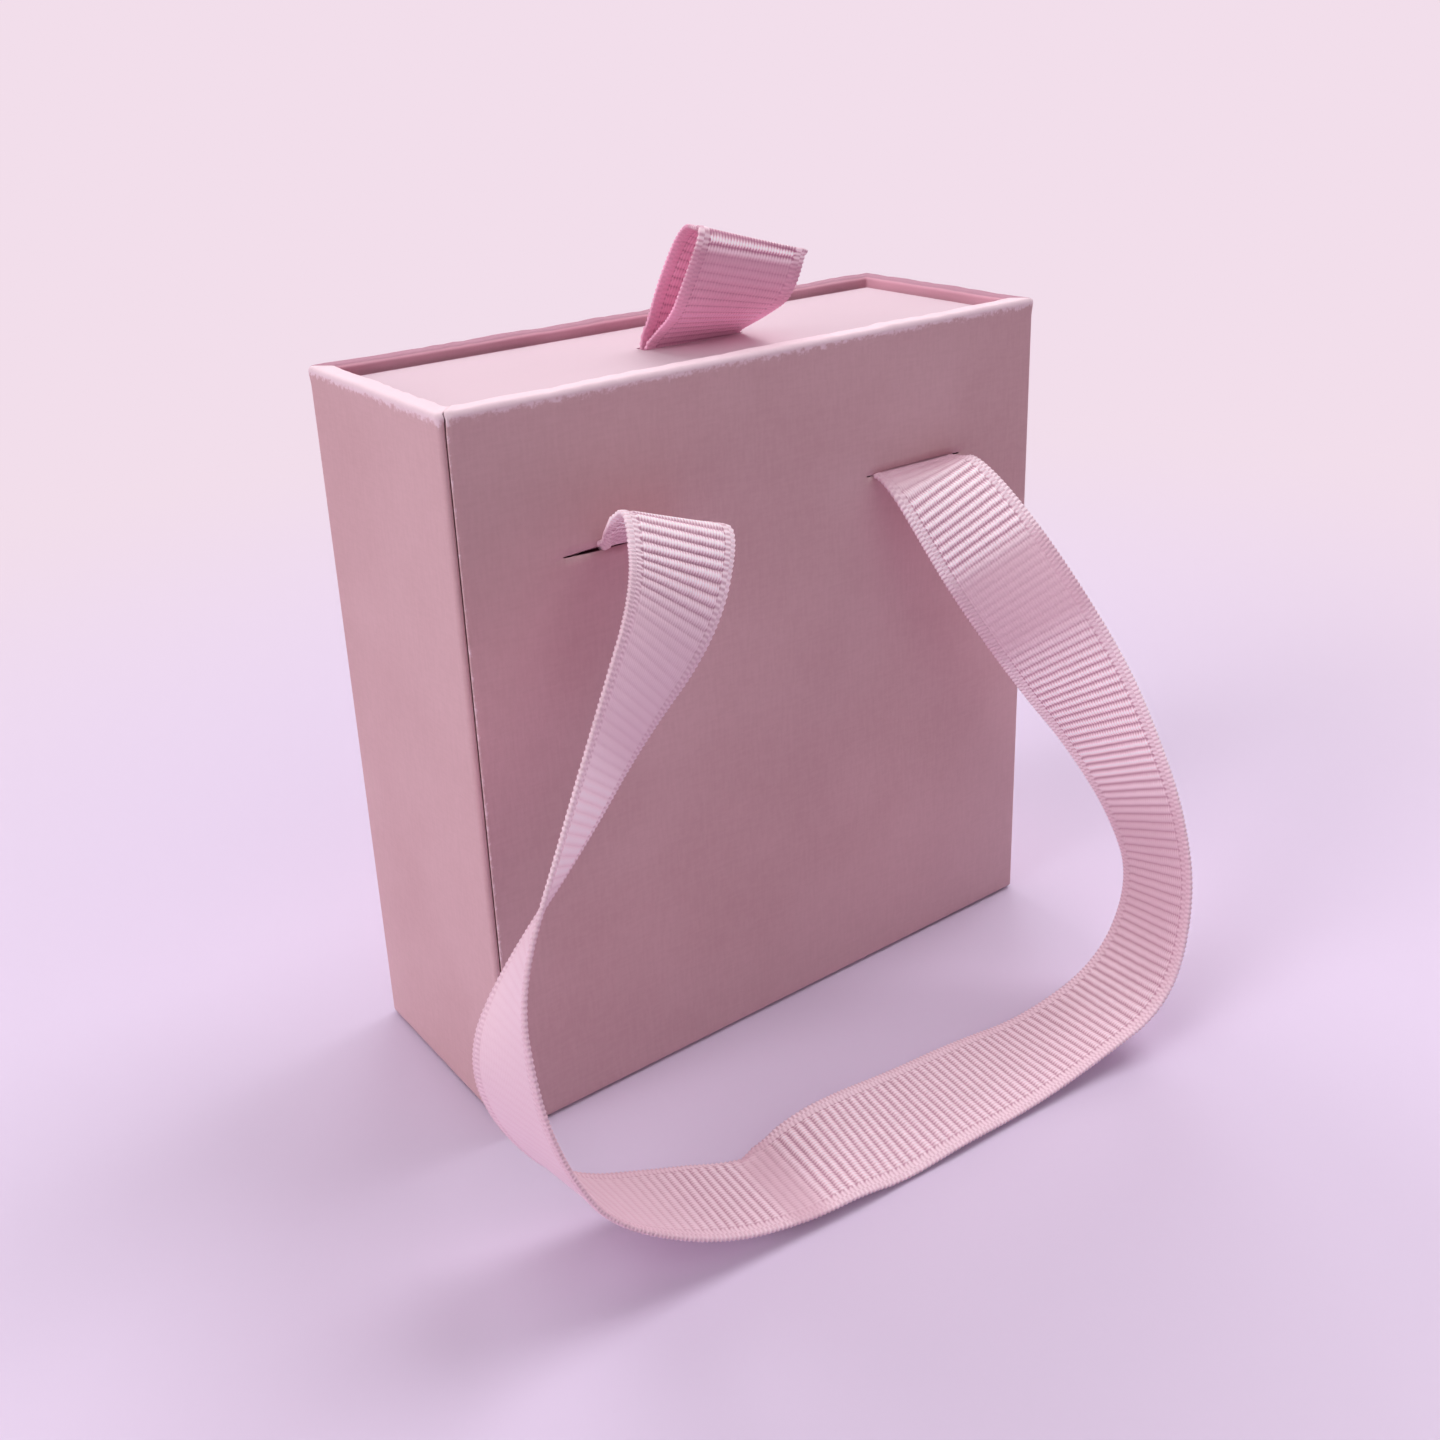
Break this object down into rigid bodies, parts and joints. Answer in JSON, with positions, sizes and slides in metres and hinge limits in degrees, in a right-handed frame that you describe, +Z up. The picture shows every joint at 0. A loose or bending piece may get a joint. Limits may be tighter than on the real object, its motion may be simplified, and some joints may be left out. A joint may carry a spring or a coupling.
{
  "type": "gift box",
  "caption": "Upright paper-wrapped card gift box: a drawer lifts out of an open-topped sleeve by a ribbon pull, with a loose ribbon handle through slits in the front.",
  "frame": {"origin": "middle of the underside of the box", "axes": "+Z up out of the sleeve's mouth, the way the drawer pulls out; front wall with the two handle slits faces -Y; +X to the right seen from the front"},
  "size_m": [0.0708, 0.0511, 0.0734],
  "materials": {
    "pink_paper": "matte, lightly textured",
    "grey_board": "raw",
    "pink_ribbon": "ribbed weave with a soft sheen"
  },
  "bodies": {
    "sleeve": {"sleeve_front_board": "grey_board", "sleeve_back_board": "grey_board", "sleeve_left_board": "grey_board", "sleeve_right_board": "grey_board", "sleeve_base_board": "grey_board", "sleeve_wrap": "pink_paper", "sleeve_wall_lining": "pink_paper", "sleeve_floor_lining": "pink_paper", "base_label": "pink_paper", "handle_end_left": "pink_ribbon", "handle_end_right": "pink_ribbon"},
    "drawer": {"drawer_floor_board": "grey_board", "drawer_left_board": "grey_board", "drawer_right_board": "grey_board", "drawer_bottom_board": "grey_board", "drawer_top_board": "grey_board", "drawer_wrap": "pink_paper", "drawer_lining": "pink_paper", "pull_end": "pink_ribbon"},
    "handle": {"handle_ribbon": "pink_ribbon"},
    "pull": {"pull_loop": "pink_ribbon"}
  },
  "joints": [
    {"name": "drawer_slide", "type": "slide", "parent": "sleeve", "child": "drawer", "axis": [0, 0, 1], "range_m": [0, 0.062]},
    {"name": "handle_swing", "type": "hinge", "parent": "sleeve", "child": "handle", "pos_m": [0, -0.0125, 0.0505], "axis": [-1, 0, 0], "range_deg": [0, 40]},
    {"name": "pull_tilt", "type": "hinge", "parent": "drawer", "child": "pull", "pos_m": [0, 0.0005, 0.0626], "axis": [-1, 0, 0], "range_deg": [-15, 45], "stiffness_Nm_per_rad": 0.001}
  ]
}
